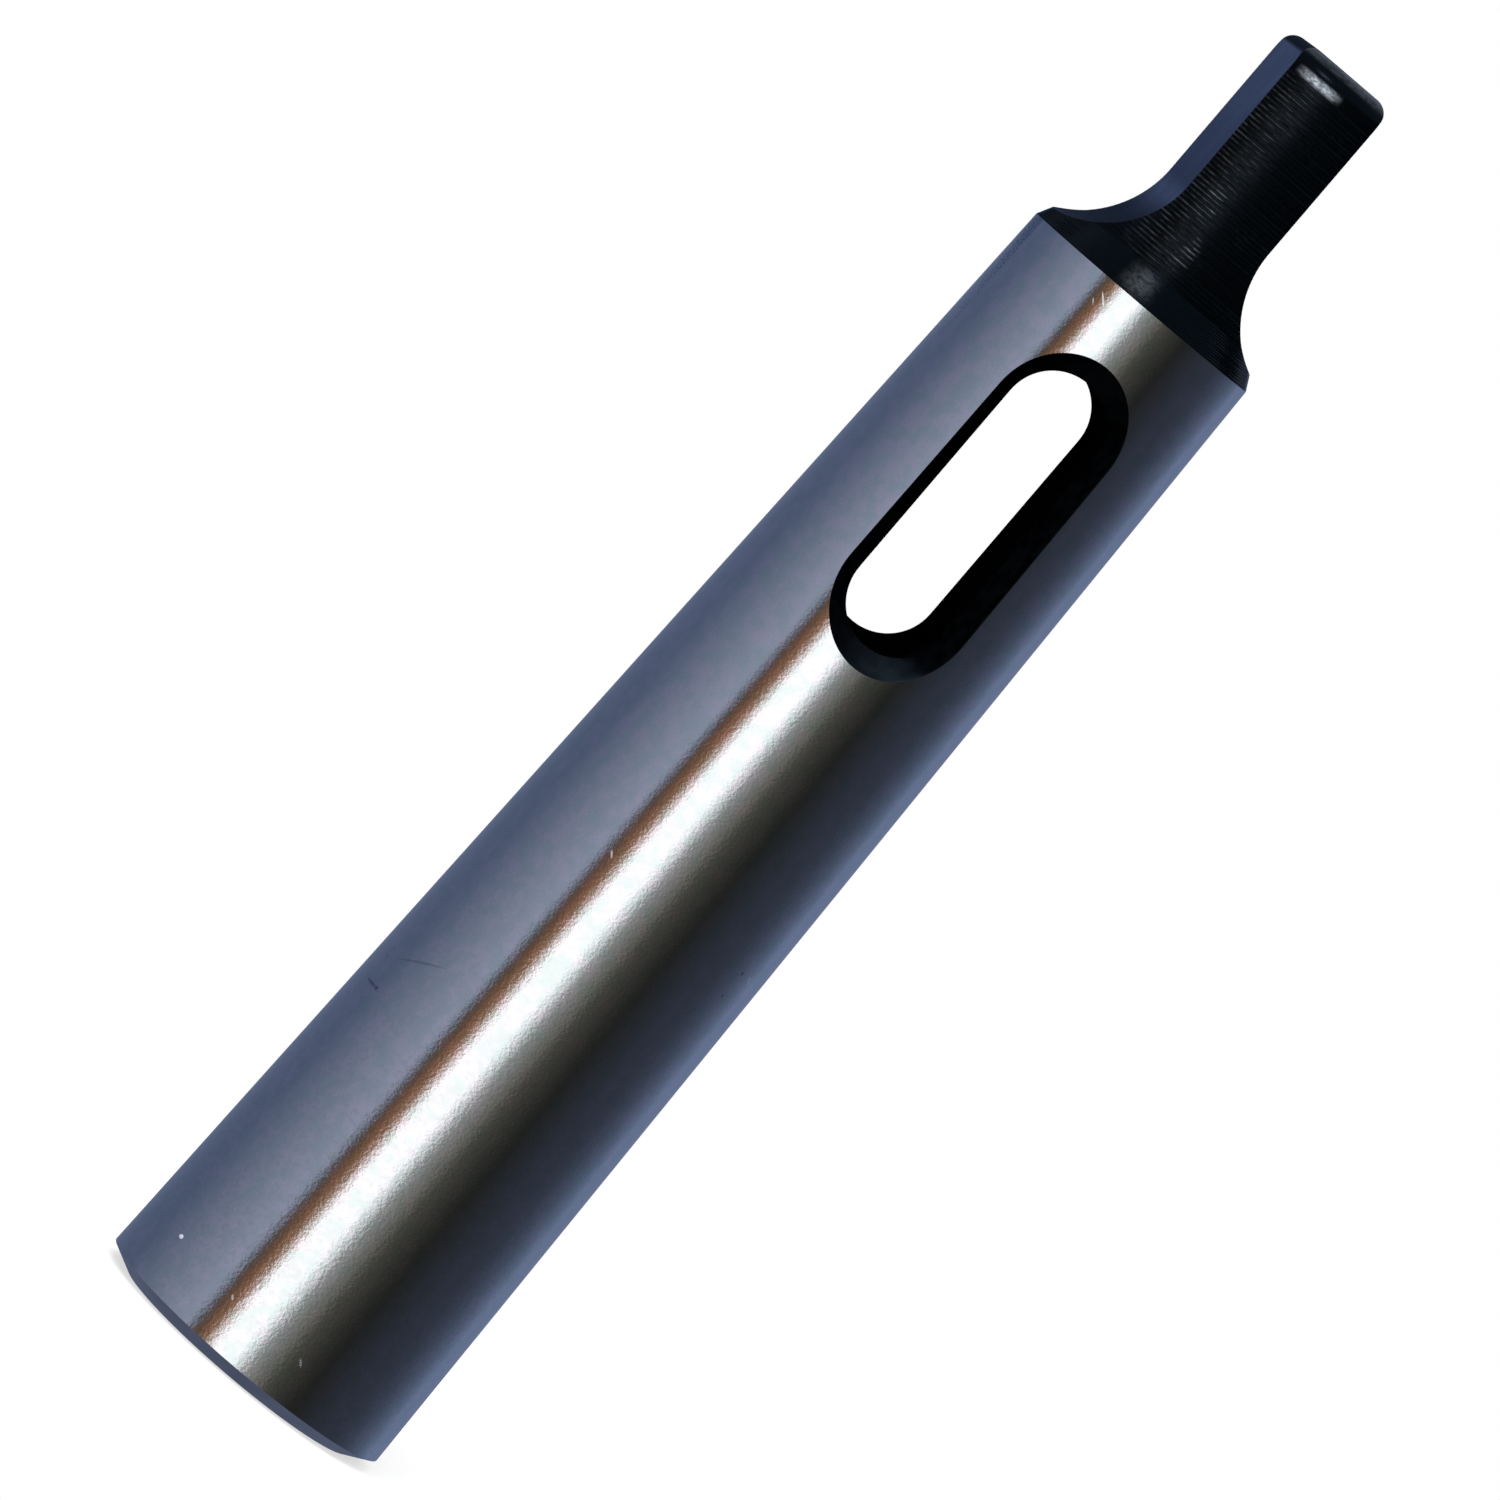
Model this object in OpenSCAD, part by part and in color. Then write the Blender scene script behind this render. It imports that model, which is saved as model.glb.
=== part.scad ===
// Reducing sleeve between two self-holding tapers: the outside taper is size 2 and the
// socket takes a size 1 shank. It is turned, milled and ground from one piece of steel.
// The sleeve stands on its large end with the tang up. The origin is the centre of the
// large end face, +Z runs along the axis to the tang, and the drift slot runs along Y.

/* [Outside taper] */
// Length from the large end face to the end of the tang
sleeve_len = 92; // [90:0.5:100]
// Diameter in the gauge plane
gauge_d = 17.78; // [17.3:0.01:18.3]
// Height of the gauge plane above the large end face
gauge_z = 17; // [5:0.5:25]
// Length in which the outside diameter falls by 1
taper_run = 20.02; // [18:0.01:24]
// Bevel round the outer edge of the large end
end_bevel = 0.75; // [0.2:0.05:1.5]

/* [Tang] */
// Length of the tang with its shoulder, from the end of the ground taper
tang_len = 16.5; // [14:0.5:18]
// Diameter of the tang across its turned sides
tang_d = 13; // [12:0.1:14]
// Length of the conical shoulder between the taper and the turned sides
shoulder_len = 1.75; // [0.5:0.05:3]
// Thickness of the tang across its two milled flats
tang_t = 5.7; // [4.5:0.1:6.5]
// Length of the flats from the end of the tang to the start of their run-out
flat_len = 10; // [7:0.5:11]
// Radius of the disc cutter that leaves the run-out of the flats
cutter_r = 6; // [4:0.5:8]
// Rounding of the tang's end on its turned sides
tip_r = 1.6; // [0.4:0.1:2.5]
// Rounding of the tang's end along its flats
tip_flat_r = 0.8; // [0.2:0.1:2]

/* [Centre hole] */
// Diameter of the centre hole where it opens in the tang's end
centre_d = 3.35; // [2.6:0.05:4]
// Diameter of the pilot hole at the bottom of the centre hole
centre_pilot_d = 1.6; // [1:0.1:2.4]
// Depth of the pilot hole below the tang's end
centre_depth = 3.5; // [3:0.1:6]
// Angle of the centre hole's cone
centre_angle = 60; // [50:1:90]

/* [Socket] */
// Diameter of the socket in the plane of the large end face
socket_d = 12.065; // [11.8:0.005:12.4]
// Length in which the diameter of the socket falls by 1
socket_run = 20.047; // [18:0.001:24]
// Bevel round the mouth of the socket
mouth_bevel = 0.4; // [0.1:0.05:0.8]
// Diameter of the drilled bore past the reamed taper
bore_d = 9.7; // [9.2:0.1:10.5]
// Depth of the drilled bore to the start of the drill's point
bore_depth = 56; // [54:0.5:60]
// Angle of the drill's point at the bottom of each drilled hole
drill_angle = 118; // [90:1:140]

/* [Drift slot] */
// Height of the slot's lower end above the large end face
slot_z = 52; // [50:0.1:54]
// Length of the slot
slot_len = 18.4; // [14:0.1:19]
// Width of the slot
slot_w = 5.85; // [4.5:0.05:6.5]
// Depth of the flared rim below the outside taper, at the slot's middle
rim_depth = 2.55; // [1.5:0.05:2.9]
// Angle between opposite sides of the flared rim
rim_angle = 60; // [40:5:90]
// Distance by which the flaring cutter's path stops short at the slot's lower end
rim_stop = 0.45; // [0:0.05:0.8]

/* [Hidden] */
$fn = 180;
// Overlap of a cutting shape past the surface that it opens
cut = 1;

ground_z = sleeve_len - tang_len;
flat_z = sleeve_len - flat_len;
large_r = outside_r(0);
rim_y = outside_r(slot_z + slot_len / 2) - rim_depth;

// Radius of the ground outside taper at height z
function outside_r(z) = gauge_d / 2 + (gauge_z - z) / taper_run / 2;

// Radius of the reamed socket at depth z
function socket_r(z) = (socket_d - z / socket_run) / 2;

// Length of the point that a drill of diameter d leaves at the bottom of its hole
function point_len(d) = d / 2 / tan(drill_angle / 2);

// Blank as it leaves the lathe: the bevelled large end, the taper, the shoulder and the tang
module turned_blank() {
    rotate_extrude() {
        polygon([
            [0, 0],
            [outside_r(end_bevel) - end_bevel, 0],
            [outside_r(end_bevel), end_bevel],
            [outside_r(ground_z), ground_z],
            [tang_d / 2, ground_z + shoulder_len],
            [tang_d / 2, sleeve_len - tip_r],
            [tang_d / 2 - tip_r, sleeve_len],
            [0, sleeve_len]
        ]);
        translate([tang_d / 2 - tip_r, sleeve_len - tip_r]) circle(r = tip_r);
    }
}

// Outline, in the plane of X and Z, of what the disc cutter takes off for the flat on +X
module flat_outline() {
    translate([tang_t / 2 + cutter_r, flat_z]) circle(r = cutter_r);
    translate([tang_t / 2, flat_z]) square([2 * cutter_r, flat_len + cut]);
    difference() {
        translate([tang_t / 2 - tip_flat_r, sleeve_len - tip_flat_r])
            square([tip_flat_r + cut, tip_flat_r + cut]);
        translate([tang_t / 2 - tip_flat_r, sleeve_len - tip_flat_r]) circle(r = tip_flat_r);
    }
}

// The two flats, with the run-out of the cutter at their foot
module tang_flats() {
    for (side = [0, 1])
        mirror([side, 0, 0])
            rotate([90, 0, 0])
                linear_extrude(height = 2 * large_r, center = true) flat_outline();
}

// Centre hole in the tang's end, which the sleeve is ground on
module centre_hole() {
    cone_len = (centre_d - centre_pilot_d) / 2 / tan(centre_angle / 2);
    rotate_extrude()
        polygon([
            [0, sleeve_len - centre_depth - point_len(centre_pilot_d)],
            [centre_pilot_d / 2, sleeve_len - centre_depth],
            [centre_pilot_d / 2, sleeve_len - cone_len],
            [centre_d / 2, sleeve_len],
            [centre_d / 2, sleeve_len + cut],
            [0, sleeve_len + cut]
        ]);
}

// Reamed taper with its bevelled mouth, then the drilled bore with the drill's point
module socket() {
    taper_end = (socket_d - bore_d) * socket_run;
    rotate_extrude()
        polygon([
            [0, -cut],
            [socket_r(mouth_bevel) + mouth_bevel + cut, -cut],
            [socket_r(mouth_bevel), mouth_bevel],
            [bore_d / 2, taper_end],
            [bore_d / 2, bore_depth],
            [0, bore_depth + point_len(bore_d)]
        ]);
}

// Straight round-ended slot right through the sleeve
module slot_walls() {
    rotate([90, 0, 0])
        linear_extrude(height = 2 * (large_r + cut), center = true) {
            for (z = [slot_z + slot_w / 2, slot_z + slot_len - slot_w / 2])
                translate([0, z]) circle(d = slot_w);
            translate([-slot_w / 2, slot_z + slot_w / 2]) square([slot_w, slot_len - slot_w]);
        }
}

// Flare of the rim on the side of -Y, as a tapered cutter led once round the slot leaves it
module rim_flare() {
    spread = tan(rim_angle / 2);
    inner_y = rim_y - cut;
    outer_y = large_r + cut;
    inner_r = slot_w / 2 - cut * spread;
    outer_r = slot_w / 2 + (outer_y - rim_y) * spread;
    low_z = slot_z + slot_w / 2 + rim_stop;
    high_z = slot_z + slot_len - slot_w / 2;
    for (z = [low_z, high_z])
        translate([0, -inner_y, z])
            rotate([90, 0, 0]) cylinder(h = outer_y - inner_y, r1 = inner_r, r2 = outer_r);
    translate([0, 0, low_z])
        linear_extrude(height = high_z - low_z)
            polygon([
                [-inner_r, -inner_y],
                [-outer_r, -outer_y],
                [outer_r, -outer_y],
                [inner_r, -inner_y]
            ]);
}

// Drift slot with a flared rim on each side
module drift_slot() {
    slot_walls();
    rim_flare();
    mirror([0, 1, 0]) rim_flare();
}

module sleeve() {
    color("lightslategray")
        difference() {
            turned_blank();
            tang_flats();
            centre_hole();
            socket();
            drift_slot();
        }
}

sleeve();
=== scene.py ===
"""Looks of a reducing drill sleeve: one steel piece with two self-holding tapers.

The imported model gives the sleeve's place and length. This script builds the finished sleeve over it,
with its turning grooves and edge breaks, gives every surface its finish, and sets up the studio.
Lengths of the sleeve and the camera are millimetres, and its mesh is scaled to metres when it is
made. Lengths in the finishes and the studio are metres.
"""

import logging
import math
from collections.abc import Mapping
from dataclasses import dataclass, field
from enum import IntEnum
from functools import cached_property
from typing import ClassVar

import bpy
import numpy as np
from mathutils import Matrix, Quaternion, Vector

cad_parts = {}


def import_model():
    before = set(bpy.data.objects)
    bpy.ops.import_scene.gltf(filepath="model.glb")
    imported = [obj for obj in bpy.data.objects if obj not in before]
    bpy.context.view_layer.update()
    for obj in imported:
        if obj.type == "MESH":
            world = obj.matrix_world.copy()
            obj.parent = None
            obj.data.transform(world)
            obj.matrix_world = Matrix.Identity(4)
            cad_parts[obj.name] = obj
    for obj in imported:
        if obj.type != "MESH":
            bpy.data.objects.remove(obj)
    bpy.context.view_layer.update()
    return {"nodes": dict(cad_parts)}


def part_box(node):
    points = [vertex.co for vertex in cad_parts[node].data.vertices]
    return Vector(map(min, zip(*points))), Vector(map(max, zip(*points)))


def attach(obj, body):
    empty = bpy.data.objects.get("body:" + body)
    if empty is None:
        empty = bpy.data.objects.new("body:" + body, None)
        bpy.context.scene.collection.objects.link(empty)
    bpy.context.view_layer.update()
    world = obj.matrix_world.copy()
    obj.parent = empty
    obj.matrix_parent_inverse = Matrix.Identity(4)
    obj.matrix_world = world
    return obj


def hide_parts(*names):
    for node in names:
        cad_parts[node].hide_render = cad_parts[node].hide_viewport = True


LOG = logging.getLogger("sleeve")
# Metres in a millimetre
MM = 0.001
# Columns of the mesh round the axis
AROUND = 192
# Columns from the slot's middle to either side of the window round it
WINDOW_COLUMNS = AROUND // 8
# Distance from the axis, in millimetres, at which the nicks' widths are true
MARK_RADIUS = 9.0
# Decimals to which points, in millimetres, are rounded before they are welded
WELD_DIGITS = 4
# Decimals to which angles, in radians, are rounded before they are put in order
ANGLE_DIGITS = 6
# Slack in comparing heights, in millimetres, and a shift too small to be seen
SLACK = 1e-6
NUDGE = 1e-9

Colour = tuple[float, float, float, float]
Rows = np.ndarray
Values = dict[str, object]

WHITE: Colour = (1.0, 1.0, 1.0, 1.0)


def srgb(red: float, green: float, blue: float) -> Colour:
    """Turns a colour as seen on a screen into the linear one that a shader takes.

    Args:
        red: Red from 0 to 255.
        green: Green from 0 to 255.
        blue: Blue from 0 to 255.

    Returns:
        The linear colour with full alpha.
    """
    shares = (c / 255 for c in (red, green, blue))
    linear = [c / 12.92 if c <= 0.04045 else ((c + 0.055) / 1.055) ** 2.4 for c in shares]
    return (linear[0], linear[1], linear[2], 1.0)


@dataclass(frozen=True)
class Field:
    """A socket of a node tree, on which shader maths is written as expressions."""

    graph: "Graph"
    socket: bpy.types.NodeSocket

    def _math(self, operation: str, *inputs: "Field | float") -> "Field":
        """Adds a Math node over the given inputs."""
        return self.graph.add("ShaderNodeMath", {"operation": operation}, dict(enumerate(inputs)))

    def __add__(self, other: "Field | float") -> "Field":
        """Sum."""
        return self._math("ADD", self, other)

    def __radd__(self, other: float) -> "Field":
        """Sum with the number first."""
        return self._math("ADD", other, self)

    def __sub__(self, other: "Field | float") -> "Field":
        """Difference."""
        return self._math("SUBTRACT", self, other)

    def __rsub__(self, other: float) -> "Field":
        """Difference with the number first, such as 1 - mask."""
        return self._math("SUBTRACT", other, self)

    def __mul__(self, other: "Field | float") -> "Field":
        """Product."""
        return self._math("MULTIPLY", self, other)

    def __rmul__(self, other: float) -> "Field":
        """Product with the number first."""
        return self._math("MULTIPLY", other, self)

    def __pow__(self, other: "Field | float") -> "Field":
        """Power."""
        return self._math("POWER", self, other)

    def arctan2(self, other: "Field") -> "Field":
        """Angle whose tangent is this over the other, in radians."""
        return self._math("ARCTAN2", self, other)

    def pingpong(self, reach: float) -> "Field":
        """Runs from 0 up to reach and back down, again and again, as this grows."""
        return self._math("PINGPONG", self, reach)

    def length(self) -> "Field":
        """Length of this vector."""
        settings = {"operation": "LENGTH"}
        return self.graph.add("ShaderNodeVectorMath", settings, {0: self}).out("Value")

    def out(self, name: str) -> "Field":
        """Another output of the same node."""
        return Field(self.graph, self.socket.node.outputs[name])

    def step(self, low: float, high: float, start: float = 0.0, end: float = 1.0) -> "Field":
        """Smooth step from start to end as this goes from low to high.

        Args:
            low: Value up to which the result is start.
            high: Value from which the result is end.
            start: Result at the low end.
            end: Result at the high end.

        Returns:
            The stepped value.
        """
        values = {"Value": self, "From Min": low, "From Max": high, "To Min": start, "To Max": end}
        return self.graph.add("ShaderNodeMapRange", {"interpolation_type": "SMOOTHSTEP"}, values)


class Graph:
    """The node tree of a material or a world, with one method that adds any node."""

    def __init__(self, owner: bpy.types.Material | bpy.types.World) -> None:
        """Starts an empty tree.

        Args:
            owner: Material or world whose nodes are made anew.
        """
        owner.use_nodes = True
        self.tree = owner.node_tree
        self.tree.nodes.clear()

    @cached_property
    def place(self) -> Field:
        """Place in metres in the frame of the object that wears the material."""
        return self.add("ShaderNodeTexCoord").out("Object")

    @cached_property
    def parts(self) -> Field:
        """The place's X, Y and Z, as the outputs of one node."""
        return self.add("ShaderNodeSeparateXYZ", {}, {0: self.place})

    @cached_property
    def turn(self) -> Field:
        """Angle round the axis from -Y towards +X, in radians."""
        return self.parts.out("X").arctan2(0.0 - self.parts.out("Y"))

    def add(
        self,
        kind: str,
        settings: Mapping[str, object] | None = None,
        values: Mapping[str | int, object] | None = None,
    ) -> Field:
        """Adds one node.

        Args:
            kind: The node's type, such as ShaderNodeMath.
            settings: The node's own settings, set before its sockets.
            values: Values or fields for its input sockets, by name or number.

        Returns:
            The node's first output, or its first input where it has none.
        """
        node = self.tree.nodes.new(kind)
        for name, setting in (settings or {}).items():
            setattr(node, name, setting)
        for name, value in (values or {}).items():
            if isinstance(value, Field):
                self.tree.links.new(value.socket, node.inputs[name])
            else:
                node.inputs[name].default_value = value
        return Field(self, (node.outputs or node.inputs)[0])

    def mix(self, share: Field | float, first: Field | Colour, second: Field | Colour) -> Field:
        """Mixes two colours.

        Args:
            share: Share of the second colour, from 0 to 1.
            first: Colour at share 0.
            second: Colour at share 1.

        Returns:
            The mixed colour.
        """
        node = self.add("ShaderNodeMix", {"data_type": "RGBA"}, {0: share, 6: first, 7: second})
        return Field(self, node.socket.node.outputs[2])

    def noise(
        self, scale: float, detail: float = 2.0, rough: float = 0.5, place: Field | None = None
    ) -> Field:
        """Noise over a place.

        Args:
            scale: How often it repeats in one unit of the place.
            detail: How many finer layers it has.
            rough: How strong the finer layers are.
            place: Where the noise is read, or None for the material's own place.

        Returns:
            The noise, around 0.5.
        """
        values = {"Vector": place or self.place, "Scale": scale, "Detail": detail, "Roughness": rough}
        return self.add("ShaderNodeTexNoise", {}, values)

    def marks(self, around: float, along: float, detail: float = 2.0, rough: float = 0.5) -> Field:
        """Noise whose marks run round the sleeve.

        Args:
            around: Marks in a metre round the sleeve.
            along: Marks in a metre along its axis.
            detail: How many finer layers the noise has.
            rough: How strong the finer layers are.

        Returns:
            The noise, around 0.5.
        """
        scale = {0: self.place, 1: (around, around, along)}
        place = self.add("ShaderNodeVectorMath", {"operation": "MULTIPLY"}, scale)
        return self.noise(1.0, detail, rough, place)

    def bump(self, distance: float, relief: Field) -> Field:
        """Normal over a relief that is so many metres high."""
        return self.add("ShaderNodeBump", {}, {"Distance": distance, "Height": relief})

    def surface(self, shader: Field) -> None:
        """Puts a shader on the surface."""
        self.add("ShaderNodeOutputMaterial", {}, {"Surface": shader})


class Surface(IntEnum):
    """Kinds of surface on the sleeve, in the order of its materials."""

    GROUND = 0
    TURNED_END = 1
    TURNED_OXIDE = 2
    MILLED_OXIDE = 3
    SLOT_WALL = 4
    SLOT_FLARE = 5
    REAMED = 6
    DRILLED = 7


def linked(name: str, data: bpy.types.ID) -> bpy.types.Object:
    """Makes an object and links it to the scene.

    Args:
        name: The object's name.
        data: Its mesh, lamp or camera.

    Returns:
        The object.
    """
    made = bpy.data.objects.new(name, data)
    bpy.context.scene.collection.objects.link(made)
    return made


def towards(azimuth: float, elevation: float) -> Vector:
    """Direction from the sleeve.

    Args:
        azimuth: Degrees round the sleeve from -Y towards +X.
        elevation: Degrees above the floor.

    Returns:
        The unit vector.
    """
    a, e = math.radians(azimuth), math.radians(elevation)
    return Vector((math.sin(a) * math.cos(e), -math.cos(a) * math.cos(e), math.sin(e)))


@dataclass(frozen=True)
class Nick:
    """A small mark in the ground surface: degrees round from -Y, and millimetres up and long. A bright
    one is a painted glint.
    """

    turn: float
    height: float
    length: float
    width: float
    lean: float
    share: float
    bright: bool = False

    def mask(self, graph: Graph) -> Field:
        """Makes the mark's share, as a long spot that leans from the sleeve's axis.

        Args:
            graph: The material's nodes.

        Returns:
            The share at each place.
        """
        across = (graph.turn - math.radians(self.turn)) * MARK_RADIUS
        up = (graph.parts.out("Z") - self.height * MM) * (1 / MM)
        lean = math.radians(self.lean)
        along = up * math.cos(lean) + across * math.sin(lean)
        aside = across * math.cos(lean) - up * math.sin(lean)
        spot = {0: along * (2 / self.length), 1: aside * (2 / self.width)}
        reach = graph.add("ShaderNodeCombineXYZ", {}, spot).length()
        return reach.step(1.2, 0.6, 0.0, self.share)


@dataclass(frozen=True)
class Finish:
    """The look of one kind of surface, from which its material is made."""

    name: str

    def values(self, graph: Graph) -> Values:
        """Makes what goes into the shader's sockets.

        Args:
            graph: The material's nodes.

        Returns:
            Values and fields by the shader's socket.
        """
        raise NotImplementedError(self.name)

    def material(self) -> bpy.types.Material:
        """Makes the material.

        Returns:
            The material.
        """
        made = bpy.data.materials.new(self.name)
        graph = Graph(made)
        graph.surface(graph.add("ShaderNodeBsdfPrincipled", {}, self.values(graph)))
        return made


@dataclass(frozen=True)
class GroundSteel(Finish):
    """Bright steel, ground between centres, with the wheel's fine grain and lines."""

    # Dark nicks are darker steel. Bright nicks are painted glints: a white non-metal where small marks
    # catch the light.
    NICKS: ClassVar[tuple[Nick, ...]] = (
        Nick(-52.7, 3.9, 0.27, 0.36, 0, 0.5, bright=True),
        Nick(-19.7, 74.4, 1.0, 0.1, -50, 0.45, bright=True),
        Nick(-22.5, 74.0, 0.5, 0.08, -45, 0.3, bright=True),
        Nick(-23.1, 34.8, 0.5, 0.12, -40, 0.3, bright=True),
        Nick(-21.8, 3.5, 0.35, 0.12, -40, 0.3, bright=True),
        Nick(10.0, 3.2, 0.55, 0.16, -40, 0.1, bright=True),
        Nick(-4.5, 5.8, 0.3, 0.2, 20, 0.3, bright=True),
        Nick(58.9, 34.0, 0.9, 0.07, -50, 0.12, bright=True),
        Nick(-68.4, 20.8, 1.6, 0.2, 90, 0.5),
        Nick(-63.2, 20.8, 0.3, 0.3, 0, 0.55),
        Nick(-54.0, 23.5, 3.8, 0.16, 67, 0.3),
        Nick(-73.2, 22.4, 0.2, 0.2, 0, 0.35),
        Nick(50.9, 34.2, 0.26, 0.2, 0, 0.6),
        Nick(49.8, 32.6, 0.26, 0.2, 30, 0.5),
    )

    name: str = "ground_steel"
    colour: Colour = srgb(206, 200, 206)
    shade: Colour = srgb(188, 197, 196)
    pit: Colour = srgb(190, 192, 193)
    # White non-metal of the bright nicks: painted glints.
    burr_glint: Colour = srgb(236, 236, 244)
    dent: Colour = srgb(70, 76, 86)
    roughness: float = 0.065
    relief: float = 0.000007
    pits_start: float = 0.06
    pits_full: float = 0.005

    def values(self, graph: Graph) -> Values:
        """Makes the grain, the pits towards the large end, and the nicks, whose bright ones are painted
        glints.

        Args:
            graph: The material's nodes.

        Returns:
            Values and fields by the shader's socket.
        """
        lines = graph.marks(700, 9000, 3.0, 0.6)
        grain = graph.marks(5200, 6800, 2.0, 0.6)
        mottle = graph.marks(2600, 3400, 2.0, 0.6)
        clouds = graph.noise(1100, 3.0)
        pitted = graph.parts.out("Z").step(self.pits_start, self.pits_full)
        tone = graph.mix((0.7 * clouds + 0.3 * grain).step(0.38, 0.62), self.shade, self.colour)
        tone = graph.mix(pitted * mottle.step(0.45, 0.68), tone, self.pit)
        # The bright nicks paint glints: white, and not metal.
        dents, burr_glints = (
            sum((nick.mask(graph) for nick in self.NICKS if nick.bright is bright), 0.0)
            for bright in (False, True)
        )
        return {
            "Base Color": graph.mix(burr_glints, graph.mix(dents, tone, self.dent), self.burr_glint),
            "Metallic": 1 - burr_glints,
            "Roughness": self.roughness + 0.04 * (lines - 0.5) + 0.04 * (grain - 0.5),
            "Normal": graph.bump(self.relief, 0.4 * lines + grain + 0.45 * pitted * mottle),
        }


@dataclass(frozen=True)
class TurnedEnd(Finish):
    """Turned steel of the large end face and its bevel, duller than the ground taper."""

    name: str = "turned_end"
    colour: Colour = srgb(214, 216, 220)
    shade: Colour = srgb(200, 203, 210)
    roughness: float = 0.24
    relief: float = 0.000003

    def values(self, graph: Graph) -> Values:
        """Makes the tool's soft grain.

        Args:
            graph: The material's nodes.

        Returns:
            Values and fields by the shader's socket.
        """
        grain = graph.noise(3000)
        clouds = graph.noise(400)
        return {
            "Base Color": graph.mix(clouds.step(0.3, 0.7), self.colour, self.shade),
            "Metallic": 1.0,
            "Roughness": self.roughness + 0.1 * (grain - 0.5),
            "Normal": graph.bump(self.relief, grain),
        }


@dataclass(frozen=True)
class WearGlintPatch:
    """A bare patch in the oxide, put where the light glints: wear in part and painted highlight in part.
    Degrees round from -Y, and millimetres up.
    """

    left: float
    right: float
    low: float
    high: float
    share: float
    soft: float = 0.15
    fade: float = 4.0

    def mask(self, graph: Graph) -> Field:
        """Makes the patch's share of bare steel.

        Args:
            graph: The material's nodes.

        Returns:
            The share at each place.
        """
        left, right, fade = (math.radians(angle) for angle in (self.left, self.right, self.fade))
        across = graph.turn.step(left - fade, left + fade)
        across = across * graph.turn.step(right + fade, right - fade)
        low, high, soft = self.low * MM, self.high * MM, self.soft * MM
        height = graph.parts.out("Z")
        up = height.step(low - soft, low + soft) * height.step(high + soft, high - soft)
        blotches = graph.marks(3000, 5400, 3.0, 0.6)
        return across * up * blotches.step(0.36, 0.62, 0.3 * self.share, 1.1 * self.share)


@dataclass(frozen=True)
class Crests:
    """Crests between turned grooves, bare in dashes where the key light glints on them: wear and painted
    highlight.
    """

    start: float
    pitch: float
    patches: tuple[WearGlintPatch, ...]

    def mask(self, graph: Graph) -> Field:
        """Makes the crests' share of bare steel.

        Args:
            graph: The material's nodes.

        Returns:
            The share at each place.
        """
        reach = self.pitch / 2 * MM
        away = (graph.parts.out("Z") - self.start * MM).pingpong(reach)
        dashes = graph.marks(1300, 1 / (self.pitch * MM))
        painted_sheen = sum((patch.mask(graph) for patch in self.patches), 0.0)
        return away.step(0.5 * reach, 0.1 * reach) * painted_sheen * dashes.step(0.36, 0.66, 0.2, 1.5)


@dataclass(frozen=True)
class BlackOxide(Finish):
    """Black oxide over turned or milled steel, with bare patches put where the light glints: wear in
    part, painted highlight in part.
    """

    wear_and_glints: tuple[WearGlintPatch | Crests, ...] = ()
    colour: Colour = srgb(1, 2, 3)
    thin: Colour = srgb(5, 8, 11)
    bare: Colour = srgb(196, 206, 216)
    tint: Colour = srgb(215, 235, 255)
    roughness: float = 0.2
    around: float = 900
    along: float = 9000
    relief: float = 0.000003
    gloss: float = 0.1

    def values(self, graph: Graph) -> Values:
        """Makes the cutter's lines, the thin places, and the bare patches that paint glints in part.

        Args:
            graph: The material's nodes.

        Returns:
            Values and fields by the shader's socket.
        """
        lines = graph.marks(self.around, self.along)
        grain = graph.noise(4200)
        clouds = graph.noise(350)
        tone = graph.mix(lines.step(0.5, 0.8) * clouds.step(0.35, 0.75), self.colour, self.thin)
        values = {
            "Base Color": tone,
            "Roughness": self.roughness + 0.1 * (grain - 0.5) + 0.1 * (clouds - 0.5),
            "Normal": graph.bump(self.relief, 0.6 * lines + 0.4 * grain),
            "Specular IOR Level": self.gloss,
            "Specular Tint": self.tint,
        }
        if self.wear_and_glints:
            bare_and_glinting = sum((rub.mask(graph) for rub in self.wear_and_glints), 0.0)
            values["Base Color"] = graph.mix(bare_and_glinting, tone, self.bare)
            values["Metallic"] = bare_and_glinting
        return values


@dataclass(frozen=True)
class SlotOxide(Finish):
    """Dull black inside the slot and the drilled holes, with the cutters' faint marks and a painted
    reflection at the slot's low end.
    """

    gloss: float = 0.0
    colour: Colour = srgb(1, 1, 2)
    marks: Colour = srgb(3, 4, 5)
    # Colour and place of a painted reflection at the slot's low end, lighter and teal on the flare.
    painted_sheen: Colour = srgb(3, 4, 5)
    sheen_up: tuple[float, float] = (0.0535, 0.0515)
    sheen_across: tuple[float, float] = (-0.0015, 0.0035)
    roughness: float = 0.4
    relief: float = 0.000004

    def values(self, graph: Graph) -> Values:
        """Makes the marks, and a painted reflection at the slot's low end.

        Args:
            graph: The material's nodes.

        Returns:
            Values and fields by the shader's socket.
        """
        grain = graph.noise(3600)
        marks = graph.noise(1400)
        tone = graph.mix(marks.step(0.4, 0.7), self.colour, self.marks)
        sheen_spot = graph.parts.out("Z").step(*self.sheen_up)
        sheen_spot = sheen_spot * graph.parts.out("X").step(*self.sheen_across)
        return {
            "Base Color": graph.mix(sheen_spot * marks.step(0.2, 0.8, 0.5, 1.0), tone, self.painted_sheen),
            "Roughness": self.roughness + 0.2 * (grain - 0.5),
            "Specular IOR Level": self.gloss,
            "Normal": graph.bump(self.relief, grain + marks),
        }


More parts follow.
